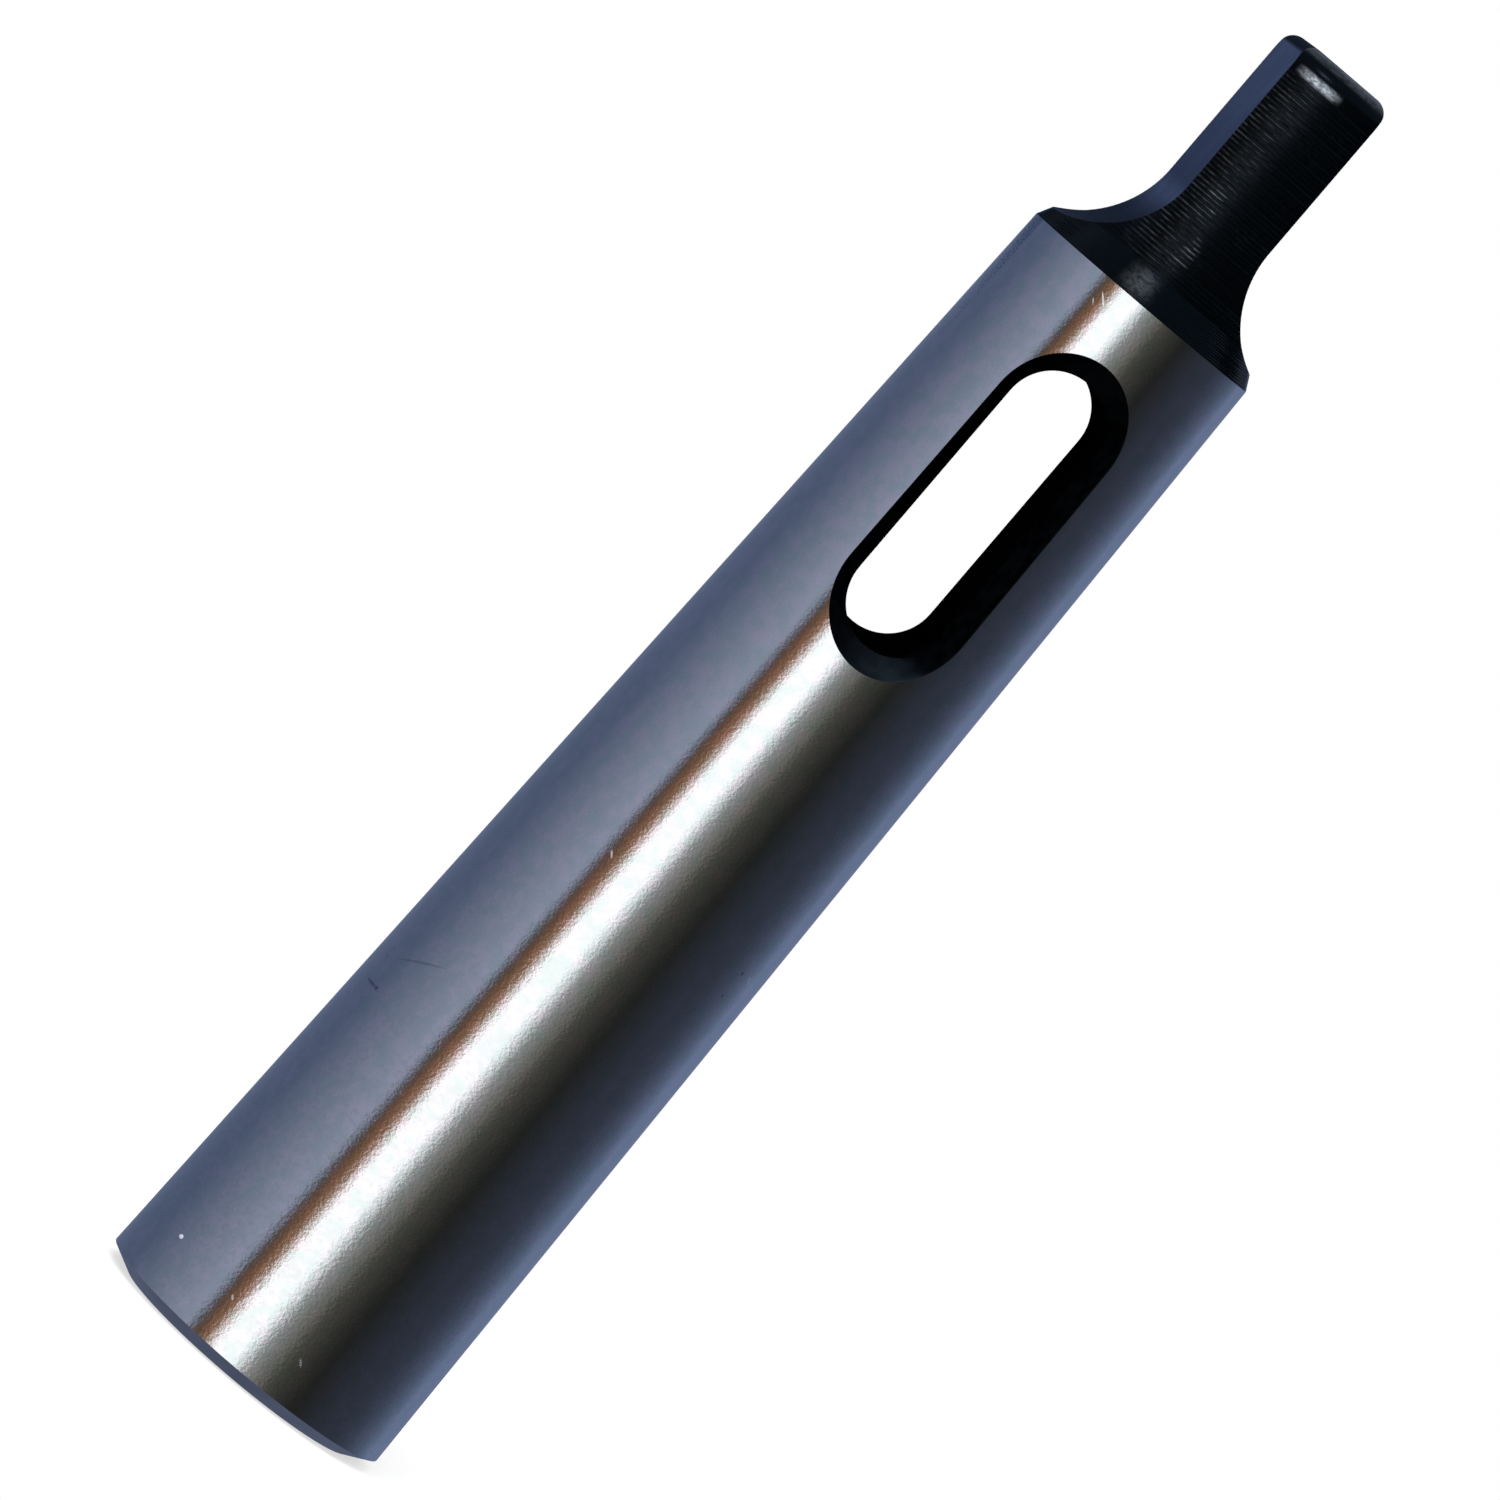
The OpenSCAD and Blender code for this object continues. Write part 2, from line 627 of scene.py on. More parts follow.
@dataclass(frozen=True)
class ReamedSteel(Finish):
    """Steel of the reamed socket, with the reamer's lines round it."""

    name: str = "reamed_steel"
    colour: Colour = srgb(120, 124, 132)
    line: Colour = srgb(30, 32, 36)
    roughness: float = 0.3
    relief: float = 0.000004

    def values(self, graph: Graph) -> Values:
        """Makes the reamer's lines.

        Args:
            graph: The material's nodes.

        Returns:
            Values and fields by the shader's socket.
        """
        lines = graph.marks(300, 5000, 3.0)
        return {
            "Base Color": graph.mix(lines.step(0.35, 0.7), self.colour, self.line),
            "Metallic": 1.0,
            "Roughness": self.roughness + 0.2 * (lines - 0.5),
            "Normal": graph.bump(self.relief, lines),
        }


class Skin:
    """Collects the sleeve's surfaces as grids of points and welds them into one closed mesh."""

    def __init__(self) -> None:
        """Starts with no surface."""
        self.corners: list[np.ndarray] = []
        self.normals: list[np.ndarray] = []
        self.kinds: list[np.ndarray] = []

    def grid(self, points: Rows, normals: Rows, kind: Surface, closed: bool = True) -> None:
        """Adds the quads of a grid.

        Args:
            points: Points by row and column.
            normals: Outward normals, which are spread over the points.
            kind: What surface it is.
            closed: Whether the last column joins the first.
        """
        normals = np.broadcast_to(normals, points.shape)
        if closed:
            points = np.concatenate([points, points[:, :1]], axis=1)
            normals = np.concatenate([normals, normals[:, :1]], axis=1)
        for store, rows in ((self.corners, points), (self.normals, normals)):
            quads = np.stack([rows[:-1, :-1], rows[:-1, 1:], rows[1:, 1:], rows[1:, :-1]], axis=2)
            store.append(quads.reshape(-1, 4, 3))
        self.kinds.append(np.full(len(self.corners[-1]), int(kind)))

    def flat_ring(self, inner: np.ndarray, outer: np.ndarray, up: float, kind: Surface) -> None:
        """Fills the level ring between two closed outlines that have different points.

        Args:
            inner: Points of the inner outline, in order of their angle.
            outer: Points of the outer outline, in order of their angle.
            up: 1 if the ring faces up, -1 if it faces down.
            kind: What surface it is.
        """
        inner, outer = (_by_angle(ring) for ring in (inner, outer))
        angles = [_angles(ring) for ring in (inner, outer)]
        corners = []
        i = j = 0
        while i < len(inner) - 1 or j < len(outer) - 1:
            step_inner = j == len(outer) - 1 or (
                i < len(inner) - 1 and angles[0][i + 1] <= angles[1][j + 1]
            )
            if step_inner:
                corners.append([inner[i], inner[i + 1], outer[j], outer[j]])
                i += 1
            else:
                corners.append([inner[i], outer[j + 1], outer[j], outer[j]])
                j += 1
        self.corners.append(np.array(corners))
        self.normals.append(np.broadcast_to([0.0, 0.0, up], self.corners[-1].shape).copy())
        self.kinds.append(np.full(len(corners), int(kind)))

    def build(self, name: str) -> bpy.types.Object:
        """Makes the mesh object.

        Args:
            name: The object's name.

        Returns:
            The new object, linked to the scene.
        """
        corners = np.concatenate(self.corners)
        normals = np.concatenate(self.normals)
        kinds = np.concatenate(self.kinds)
        keys = np.round(corners.reshape(-1, 3), WELD_DIGITS) + 0.0
        places, index = np.unique(keys, axis=0, return_inverse=True)
        index = index.reshape(-1, 4)
        faces: list[list[int]] = []
        kept_normals: list[np.ndarray] = []
        kept_kinds: list[int] = []
        for quad, quad_normals, kind in zip(index, normals, kinds):
            slots = [k for k in range(4) if quad[k] != quad[k - 1]]
            if len({int(quad[k]) for k in slots}) < 3:
                continue
            ring = places[quad[slots]]
            facing = np.cross(ring[1] - ring[0], ring[2] - ring[0])
            if len(slots) == 4:
                facing = np.cross(ring[2] - ring[0], ring[3] - ring[1])
            if facing @ quad_normals[slots].mean(axis=0) < 0:
                slots.reverse()
            faces.append([int(quad[k]) for k in slots])
            kept_normals.extend(quad_normals[k] for k in slots)
            kept_kinds.append(int(kind))
        mesh = bpy.data.meshes.new(name)
        mesh.from_pydata((places * MM).tolist(), [], faces)
        mesh.polygons.foreach_set("material_index", kept_kinds)
        mesh.polygons.foreach_set("use_smooth", [True] * len(faces))
        mesh.validate(clean_customdata=False)
        mesh.normals_split_custom_set([tuple(n) for n in kept_normals])
        return linked(name, mesh)


def _angles(ring: np.ndarray) -> np.ndarray:
    """Angle of each point round the axis, rising, with the closing point a full turn on."""
    return np.unwrap(np.arctan2(ring[:, 1], ring[:, 0]))


def _by_angle(ring: np.ndarray) -> np.ndarray:
    """Points in rising order of their angle, with the first one repeated at the end."""
    order = np.argsort(np.round(np.arctan2(ring[:, 1], ring[:, 0]), ANGLE_DIGITS))
    return np.concatenate([ring[order], ring[order[:1]]])


def ring_at(radius: np.ndarray | float, height: np.ndarray | float, angle: np.ndarray) -> Rows:
    """Points round the axis.

    Args:
        radius: Radius of each point.
        height: Height of each point.
        angle: Angle of each point, from +X towards +Y.

    Returns:
        The points, with X, Y and Z last.
    """
    parts = np.broadcast_arrays(radius * np.cos(angle), radius * np.sin(angle), height)
    return np.stack(parts, axis=-1)


def unit(vectors: np.ndarray) -> np.ndarray:
    """Vectors scaled to length 1."""
    return vectors / np.linalg.norm(vectors, axis=-1, keepdims=True)


def turned_normals(slope: np.ndarray | float, angle: np.ndarray, inward: bool = False) -> Rows:
    """Normals of a turned surface.

    Args:
        slope: How fast the radius grows with height.
        angle: Angle of each point round the axis.
        inward: Whether the surface faces the axis, as in a bore.

    Returns:
        The unit normals.
    """
    out = unit(ring_at(1.0, -np.asarray(slope, float), angle))
    return -out if inward else out


@dataclass(frozen=True)
class OutsideTaper:
    """The ground cone with the bevelled large end below and a crisp edge at the shoulder."""

    length: float
    gauge_d: float = 17.78
    gauge_z: float = 17.0
    taper_run: float = 20.02
    bevel_len: float = 0.77
    bevel_depth: float = 1.47
    tang_len: float = 16.5
    low_rows: int = 16
    high_rows: int = 3

    @property
    def slope(self) -> float:
        """How fast the radius grows with height."""
        return -0.5 / self.taper_run

    @property
    def ground_z(self) -> float:
        """Height of the end of the ground surface."""
        return self.length - self.tang_len

    def radius(self, z: np.ndarray | float) -> np.ndarray | float:
        """Radius of the ground surface at a height."""
        return self.gauge_d / 2 + (z - self.gauge_z) * self.slope

    def columns(self) -> np.ndarray:
        """Angles of the grid's columns."""
        return np.arange(AROUND) * 2 * math.pi / AROUND

    def cone(self, z: np.ndarray, angle: np.ndarray) -> tuple[Rows, Rows]:
        """Points and normals of the ground surface.

        Args:
            z: Heights.
            angle: Angles round the axis.

        Returns:
            The points and their normals.
        """
        return ring_at(self.radius(z), z, angle), turned_normals(self.slope, angle)

    def build(self, skin: Skin, slot: "DriftSlot") -> None:
        """Adds the bevel, the end face's outer edge and the cone round the slot's windows.

        Args:
            skin: Takes the surfaces.
            slot: Gives the heights of the windows that it fills itself.
        """
        angle = self.columns()[None, :]
        low, high = slot.window_z
        runs = ((self.bevel_len, low, self.low_rows), (high, self.ground_z, self.high_rows))
        for run in runs:
            z = np.linspace(*run)[:, None]
            skin.grid(*self.cone(z, angle), Surface.GROUND)
        z = slot.levels()[:, None]
        for side in (0, AROUND // 2):
            columns = np.arange(-WINDOW_COLUMNS, WINDOW_COLUMNS + 1) + side
            band = angle[:, columns % AROUND]
            skin.grid(*self.cone(z, band), Surface.GROUND, closed=False)
        radius = self.radius(self.bevel_len) - np.array([[0.0], [self.bevel_depth]])
        points = ring_at(radius, np.array([[self.bevel_len], [0.0]]), angle)
        normals = turned_normals(self.bevel_depth / self.bevel_len, angle)
        skin.grid(points, normals, Surface.TURNED_END)

    def end_outline(self) -> np.ndarray:
        """Outer outline of the large end face."""
        radius = self.radius(self.bevel_len) - self.bevel_depth
        return ring_at(radius, 0.0, self.columns())


@dataclass(frozen=True)
class Socket:
    """The reamed taper in the large end and the drilled bore that opens into the slot."""

    mouth_d: float = 12.065
    taper_run: float = 20.047
    mouth_bevel: float = 0.4
    bore_d: float = 9.7
    bore_depth: float = 56.0
    drill_angle: float = 118.0
    point_rows: int = 4
    bore_rows: int = 8
    reamed_rows: int = 12

    @property
    def point_slope(self) -> float:
        """How fast the radius of the drill's point grows with height."""
        return -math.tan(math.radians(self.drill_angle / 2))

    @property
    def taper_end(self) -> float:
        """Height at which the reamed taper meets the bore."""
        return (self.mouth_d - self.bore_d) * self.taper_run

    def reamed_radius(self, z: np.ndarray | float) -> np.ndarray | float:
        """Radius of the reamed taper at a height."""
        return (self.mouth_d - z / self.taper_run) / 2

    def top_radius(self, z: np.ndarray | float) -> np.ndarray | float:
        """Radius of the bore or, above its depth, of the drill's point."""
        return self.bore_d / 2 + np.maximum(np.asarray(z, float) - self.bore_depth, 0) * self.point_slope

    def height_of(self, radius: float) -> float:
        """Height at which the drill's point has a radius."""
        return self.bore_depth + (radius - self.bore_d / 2) / self.point_slope

    def build(self, skin: Skin, opening: np.ndarray) -> np.ndarray:
        """Adds the drill's point, the bore, the reamed taper and the mouth's bevel.

        Args:
            skin: Takes the surfaces.
            opening: The edge, all round, where the bore comes out in the slot.

        Returns:
            The outline of the mouth in the large end face.
        """
        angle = np.arctan2(opening[:, 1], opening[:, 0])[None, :]
        top = opening[None, :, 2]
        share = np.linspace(0, 1, self.point_rows)[:, None]
        z = top + share * (np.minimum(top, self.bore_depth) - top)
        points = ring_at(self.top_radius(z), z, angle)
        points[0] = opening
        normals = turned_normals(self.point_slope, angle, inward=True)
        skin.grid(points, normals, Surface.DRILLED)
        start = points[-1, :, 2][None, :]
        z = start + np.linspace(0, 1, self.bore_rows)[:, None] * (self.taper_end - start)
        normals = turned_normals(0.0, angle, inward=True)
        skin.grid(ring_at(self.bore_d / 2, z, angle), normals, Surface.DRILLED)
        z = np.linspace(self.taper_end, self.mouth_bevel, self.reamed_rows)[:, None]
        normals = turned_normals(-0.5 / self.taper_run, angle, inward=True)
        skin.grid(ring_at(self.reamed_radius(z), z, angle), normals, Surface.REAMED)
        radius = self.reamed_radius(self.mouth_bevel) + np.array([[0.0], [self.mouth_bevel]])
        points = ring_at(radius, np.array([[self.mouth_bevel], [0.0]]), angle)
        skin.grid(points, turned_normals(-1.0, angle, inward=True), Surface.TURNED_END)
        return points[-1]


@dataclass(frozen=True)
class Columns:
    """Columns of the slot's walls, each running out square from the slot's middle line."""

    centre: np.ndarray
    direction: Rows
    reach: float

    @property
    def across(self) -> np.ndarray:
        """Distance of each column from the slot's middle plane."""
        return self.reach * self.direction[:, 0]

    @property
    def height(self) -> np.ndarray:
        """Height of each column."""
        return self.centre + self.reach * self.direction[:, 2]


@dataclass(frozen=True)
class DriftSlot:
    """The round-ended slot through both walls, with its flared rims."""

    taper: OutsideTaper
    socket: Socket
    z: float = 52.0
    length: float = 18.4
    width: float = 5.85
    rim_depth: float = 2.55
    rim_angle: float = 60.0
    rim_stop: float = 0.45
    edge: float = 0.05
    window_z: tuple[float, float] = (48.2, 74.4)
    level_rows: tuple[int, ...] = (14, 4, 4, 24, 14)
    cone_rows: int = 12
    edge_rows: int = 5
    flare_rows: int = 7
    wall_rows: int = 7
    rounds: int = 80

    @property
    def centres(self) -> tuple[float, float]:
        """Heights of the centres of the slot's two round ends."""
        return self.z + self.width / 2, self.z + self.length - self.width / 2

    @property
    def spread(self) -> float:
        """How fast the flare widens with distance from the axis."""
        return math.tan(math.radians(self.rim_angle / 2))

    @property
    def rim_y(self) -> float:
        """Distance from the axis at which the flare starts."""
        return float(self.taper.radius(self.z + self.length / 2)) - self.rim_depth

    @property
    def apex(self) -> float:
        """Height at which the drill's point is as wide as the slot."""
        return self.socket.height_of(self.width / 2)

    def levels(self) -> np.ndarray:
        """Gives the heights of the rows beside the slot, with one at each change of its walls.

        Returns:
            The heights, rising.
        """
        low, high = self.centres
        stops = (self.window_z[0], low, self.socket.bore_depth, self.apex, high, self.window_z[1])
        runs = zip(stops, stops[1:], self.level_rows)
        parts = [np.linspace(*run, endpoint=False) for run in runs]
        return np.concatenate([*parts, [stops[-1]]])

    def build(self, skin: Skin) -> np.ndarray:
        """Adds the cone round the slot, its edge, the flare and the walls, on both sides.

        Args:
            skin: Takes the surfaces.

        Returns:
            The edge, all round, where the bore comes out in the slot.
        """
        offset, z = self._window()
        centre = np.clip(z, *self.centres)
        across = offset * self.taper.radius(z)
        direction = unit(np.stack([across, np.zeros_like(z), z - centre], axis=-1))
        columns = Columns(centre, direction, self.width / 2)
        patches = [*self._rim(offset, z, *self._flare(columns)), self._walls(columns)]
        opening = self._opening(columns)
        for turn in (1.0, -1.0):
            half_turn = np.array([turn, turn, 1.0])
            for points, normals, kind in patches:
                skin.grid(points * half_turn, normals * half_turn, kind)
        return np.concatenate([opening, opening[1:-1] * np.array([-1.0, -1.0, 1.0])])

    def _window(self) -> tuple[np.ndarray, np.ndarray]:
        """Outline of the window round the slot that this class fills.

        Returns:
            Angle from the slot's middle, and height, of each point of the outline.
        """
        levels = self.levels()
        column = 2 * math.pi / AROUND
        side = WINDOW_COLUMNS * column
        level_offsets = np.arange(WINDOW_COLUMNS, -WINDOW_COLUMNS, -1) * column
        offset = np.concatenate([
            np.full(len(levels) - 1, side),
            level_offsets,
            np.full(len(levels) - 1, -side),
            -level_offsets,
        ])
        z = np.concatenate([
            levels[:-1],
            np.full(len(level_offsets), levels[-1]),
            levels[:0:-1],
            np.full(len(level_offsets), levels[0]),
        ])
        return offset, z

    def _flare(self, columns: Columns) -> tuple[Rows, Rows, Rows]:
        """Finds where the walls meet the flare, whose path stops short at the low end.

        Args:
            columns: The walls' columns.

        Returns:
            Height on the cutter's path nearest to each column, direction from there to the wall,
            and the point in which flare and wall meet.
        """
        low, high = self.centres
        path = np.clip(columns.height, low + self.rim_stop, high)
        away = np.stack([columns.across, np.zeros_like(path), columns.height - path], axis=-1)
        reach = np.linalg.norm(away, axis=-1)
        depth = self.rim_y + (reach - self.width / 2) / self.spread
        return path, unit(away), np.stack([columns.across, -depth, columns.height], axis=-1)

    def _rim(
        self, offset: np.ndarray, z: np.ndarray, centre: np.ndarray, direction: Rows, foot: Rows
    ) -> list[tuple[Rows, Rows, Surface]]:
        """Makes the cone round the slot, the broken edge of the rim, and the flare.

        Args:
            offset: Angle from the slot's middle of each point of the window's outline.
            z: Height of each point of that outline.
            centre: Height on the flaring cutter's path from which each column runs.
            direction: Direction in which each column runs out from there.
            foot: Point in which each column of the flare meets the wall.

        Returns:
            Points, normals and kind of each of the three surfaces.
        """
        out = self.taper.radius(centre)
        for _ in range(self.rounds):
            half = self.width / 2 + (out - self.rim_y) * self.spread
            height = centre + half * direction[:, 2]
            out = np.sqrt(self.taper.radius(height) ** 2 - (half * direction[:, 0]) ** 2)
        rim = np.stack([half * direction[:, 0], -out, height], axis=-1)
        angle = np.arctan2(rim[:, 1], rim[:, 0])
        cone_normal = turned_normals(self.taper.slope, angle)
        lean = math.radians(self.rim_angle / 2)
        flare_normal = -math.cos(lean) * direction - math.sin(lean) * np.array([0.0, 1.0, 0.0])
        along = unit(np.roll(rim, -1, axis=0) - np.roll(rim, 1, axis=0))
        away = self._tangent(along, cone_normal, direction)
        inward = self._tangent(along, flare_normal, -direction)
        half_turn = np.arccos(np.clip((cone_normal * flare_normal).sum(axis=1), -1, 1)) / 2
        back = (self.edge * np.tan(half_turn))[:, None]
        start, end = rim + away * back, rim + inward * back
        start_angle = np.arctan2(start[:, 1], start[:, 0])
        start = ring_at(self.taper.radius(start[:, 2]), start[:, 2], start_angle)
        share = np.linspace(0, 1, self.edge_rows)[:, None, None]
        edge_normals = unit(cone_normal + share * (flare_normal - cone_normal))
        hub = start - cone_normal * self.edge
        edge_points = hub + edge_normals * self.edge
        edge_points[-1] = end
        share = np.linspace(0, 1, self.cone_rows)[:, None]
        around = offset + share * (start_angle + math.pi / 2 - offset)
        up = z + share * (start[:, 2] - z)
        cone_points, cone_normals = self.taper.cone(up, around - math.pi / 2)
        cone_points[-1] = start
        share = np.linspace(0, 1, self.flare_rows)[:, None, None]
        flare_points = end + share * (foot - end)
        return [
            (cone_points, cone_normals, Surface.GROUND),
            (edge_points, edge_normals, Surface.SLOT_FLARE),
            (flare_points, flare_normal, Surface.SLOT_FLARE),
        ]

    @staticmethod
    def _tangent(along: np.ndarray, normal: np.ndarray, towards: np.ndarray) -> np.ndarray:
        """Finds the direction within a surface that is square to its edge.

        Args:
            along: Direction of the edge.
            normal: Normal of the surface.
            towards: On which side of the edge it lies.

        Returns:
            The unit direction.
        """
        square = unit(np.cross(along, normal))
        side = np.sign((square * towards).sum(axis=1, keepdims=True))
        return square * side

    def _gap(self, columns: Columns) -> np.ndarray:
        """Finds how far from the middle the bore cuts the walls away.

        Args:
            columns: The walls' columns.

        Returns:
            The distance by column, 0 where the bore doesn't reach.
        """
        bore = self.socket.top_radius(columns.height)
        cut = np.sqrt(np.maximum(bore**2 - columns.across**2, 0))
        return np.where(columns.height < self.apex - SLACK, cut, 0.0)

    def _walls(self, columns: Columns) -> tuple[Rows, Rows, Surface]:
        """Makes the walls from the flare to the bore, or to the middle above it.

        Args:
            columns: The walls' columns.

        Returns:
            Their points, normals and kind.
        """
        start = self._flare(columns)[2][:, 1]
        share = np.linspace(0, 1, self.wall_rows)[:, None]
        depth = start + share * (-self._gap(columns) - start)
        across, height = (np.broadcast_to(v, depth.shape) for v in (columns.across, columns.height))
        points = np.stack([across, depth, height], axis=-1)
        return points, -columns.direction, Surface.SLOT_WALL

    def _opening(self, columns: Columns) -> np.ndarray:
        """Finds the edge where the bore comes out in this half of the slot.

        Args:
            columns: The walls' columns.

        Returns:
            Its points from -X to +X. Those at one angle go down on -X and up on +X.
        """
        edge = np.stack([columns.across, -self._gap(columns), columns.height], axis=-1)
        edge = edge[columns.height < self.apex + SLACK]
        angle = np.round(np.arctan2(edge[:, 1] - NUDGE, edge[:, 0]), ANGLE_DIGITS)
        return edge[np.lexsort((np.sign(edge[:, 0]) * edge[:, 2], angle))]


@dataclass(frozen=True)
class Groove:
    """One groove that the turning tool left: its lower end, height, depth and uneven sides."""

    z: float
    pitch: float
    depth: float
    skew: float


@dataclass(frozen=True)
class Tang:
    """The shoulder cone and the drive tang, with turned sides and two milled flats."""

    # Bare patches on the tip's rounding, round its end and on the shoulder, where the cards' light glints
    # or reflects: painted highlight and reflection in part, wear in part.
    WEAR_AND_GLINTS: ClassVar[tuple[WearGlintPatch, ...]] = (
        WearGlintPatch(-18.5, -1.0, 90.36, 90.78, 0.5, fade=5.5),
        WearGlintPatch(-70.0, 70.0, 91.55, 92.2, 0.022, 0.1),
        WearGlintPatch(-18.0, -8.0, 75.75, 77.1, 0.045, 0.4, fade=6.0),
    )
    # Bare crests only where the key light glints on the grooves: wear and painted highlight.
    CREST_WEAR_AND_GLINTS: ClassVar[tuple[WearGlintPatch, ...]] = (
        WearGlintPatch(-33.0, -6.0, 77.5, 90.2, 0.022, 0.3, fade=8.0),
        WearGlintPatch(-9.0, -3.0, 78.4, 80.0, 0.09, 0.5, fade=3.0),
        WearGlintPatch(-15.0, -9.0, 81.2, 82.9, 0.08, 0.4, fade=3.0),
    )

    taper: OutsideTaper
    diameter: float = 13.0
    shoulder_len: float = 1.75
    thickness: float = 5.7
    flat_len: float = 10.0
    cutter_r: float = 6.0
    tip_r: float = 1.6
    tip_flat_r: float = 0.8
    corner: float = 0.1
    side_pitch: float = 0.263
    side_depth: float = 0.05
    groove_skew: float = 0.45
    shoulder_pitch: float = 0.13
    shoulder_depth: float = 0.01
    flat_steps: int = 12
    corner_steps: int = 3
    groove_rows: int = 5
    tip_rows: int = 25
    halvings: int = 60
    seed: int = 7

    @property
    def shoulder_z(self) -> float:
        """Height of the shoulder's upper end."""
        return self.taper.ground_z + self.shoulder_len

    @property
    def true_side_pitch(self) -> float:
        """Pitch of the grooves, with a whole number of them along the turned sides."""
        run = self.taper.length - self.tip_r - self.shoulder_z
        return run / round(run / self.side_pitch)

    @property
    def flat_z(self) -> float:
        """Height at which the flats leave their run-out."""
        return self.taper.length - self.flat_len

    def turned(self, z: np.ndarray) -> tuple[np.ndarray, np.ndarray]:
        """Gives the turned form without its grooves.

        Args:
            z: Heights.

        Returns:
            The radius and its slope at each height.
        """
        start = float(self.taper.radius(self.taper.ground_z))
        cone_slope = (self.diameter / 2 - start) / self.shoulder_len
        rise = np.clip(z - (self.taper.length - self.tip_r), 0, self.tip_r * (1 - NUDGE))
        fall = np.sqrt(self.tip_r**2 - rise**2)
        on_cone = z < self.shoulder_z - NUDGE
        cone = start + (z - self.taper.ground_z) * cone_slope
        radius = np.where(on_cone, cone, self.diameter / 2 - self.tip_r + fall)
        return radius, np.where(on_cone, cone_slope, -rise / fall)

    def flat(self, z: np.ndarray) -> tuple[np.ndarray, np.ndarray, np.ndarray]:
        """Gives the form of the flat on +X.

        Args:
            z: Heights.

        Returns:
            The distance of the flat from the axis, and the X and Z parts of its normal.
        """
        drop = np.clip(self.flat_z - z, 0, self.cutter_r)
        fall = np.sqrt(self.cutter_r**2 - drop**2)
        rise = np.clip(z - (self.taper.length - self.tip_flat_r), 0, self.tip_flat_r)
        tip = np.sqrt(self.tip_flat_r**2 - rise**2)
        distance = self.thickness / 2 + (self.cutter_r - fall) - (self.tip_flat_r - tip)
        normal_x = np.where(rise > 0, tip / self.tip_flat_r, fall / self.cutter_r)
        normal_z = np.where(rise > 0, rise / self.tip_flat_r, drop / self.cutter_r)
        return distance, normal_x, normal_z

    @property
    def run_out_z(self) -> float:
        """Height at which the flats' run-out leaves the shoulder cone, found by halving.

        Returns:
            The height.
        """
        low, high = self.flat_z - self.cutter_r, self.shoulder_z
        for _ in range(self.halvings):
            middle = np.array([(low + high) / 2])
            if self.flat(middle)[0][0] > self.turned(middle)[0][0]:
                low = float(middle[0])
            else:
                high = float(middle[0])
        return high

    def section(self, z: float, radius: float, slope: float) -> tuple[Rows, Rows, np.ndarray]:
        """Makes one level section, from the middle of the flat on +X all round.

        Args:
            z: Height of the section.
            radius: Radius of the turned sides there, with their grooves.
            slope: Slope of the turned sides there.

        Returns:
            Points, normals, and for each step to the next point whether it lies on a flat.
        """
        distance, normal_x, normal_z = (float(v[0]) for v in self.flat(np.array([z])))
        arc_steps = AROUND // 4 - self.flat_steps // 2 - self.corner_steps
        if distance >= radius:
            return self._round_section(z, radius, slope, arc_steps)
        corner = min(self.corner, (radius - distance) / 2)
        hub_y = math.sqrt((radius - corner) ** 2 - (distance - corner) ** 2)
        meet = math.atan2(hub_y, distance - corner)
        flat_y = np.linspace(0, hub_y, self.flat_steps // 2 + 1)
        flat_points = np.stack(
            [np.full_like(flat_y, distance), flat_y, np.full_like(flat_y, z)], axis=-1
        )
        flat_normals = np.broadcast_to([normal_x, 0.0, normal_z], flat_points.shape)
        turn = np.linspace(0, meet, self.corner_steps + 1)[1:]
        hub = np.array([distance - corner, hub_y, z])
        corner_points = hub + ring_at(corner, 0.0, turn)
        arc = np.linspace(meet, math.pi / 2, arc_steps + 1)[1:]
        arc_points = ring_at(radius, z, arc)
        arc_normals = turned_normals(slope, arc)
        side_normal = turned_normals(slope, np.array([meet]))[0]
        share = (turn / meet)[:, None]
        corner_normals = unit(flat_normals[-1] + share * (side_normal - flat_normals[-1]))
        points = np.concatenate([flat_points, corner_points, arc_points])
        normals = np.concatenate([flat_normals, corner_normals, arc_normals])
        return self._all_round(points, normals)

    def _round_section(
        self, z: float, radius: float, slope: float, arc_steps: int
    ) -> tuple[Rows, Rows, np.ndarray]:
        """Makes a section below the flats, whose columns draw together towards the flats' foot.

        Args:
            z: Height of the section.
            radius: Radius there.
            slope: Slope there.
            arc_steps: Steps of the turned side in a quarter of the sections above.

        Returns:
            As section gives them.
        """
        even = np.linspace(0, math.pi / 2, AROUND // 4 + 1)
        tight = np.zeros_like(even)
        tight[-arc_steps - 1:] = np.linspace(0, math.pi / 2, arc_steps + 1)
        start = self.taper.ground_z
        share = min(1.0, (z - start) / (self.run_out_z - start))
        angle = even + share * (tight - even)
        return self._all_round(ring_at(radius, z, angle), turned_normals(slope, angle))

    def _all_round(self, points: Rows, normals: Rows) -> tuple[Rows, Rows, np.ndarray]:
        """Mirrors a quarter of a section into the whole.

        Args:
            points: Points of the quarter.
            normals: Their normals.

        Returns:
            As section gives them.
        """
        flip_x, flip_y = np.array([-1.0, 1.0, 1.0]), np.array([1.0, -1.0, 1.0])
        whole = []
        for quarter in (points, normals):
            half = np.concatenate([quarter, quarter[-2::-1] * flip_x])
            whole.append(np.concatenate([half, half[-2:0:-1] * flip_y]))
        quarter_flat = np.arange(AROUND // 4) < self.flat_steps // 2
        half_flat = np.concatenate([quarter_flat, quarter_flat[::-1]])
        return whole[0], whole[1], np.concatenate([half_flat, half_flat[::-1]])

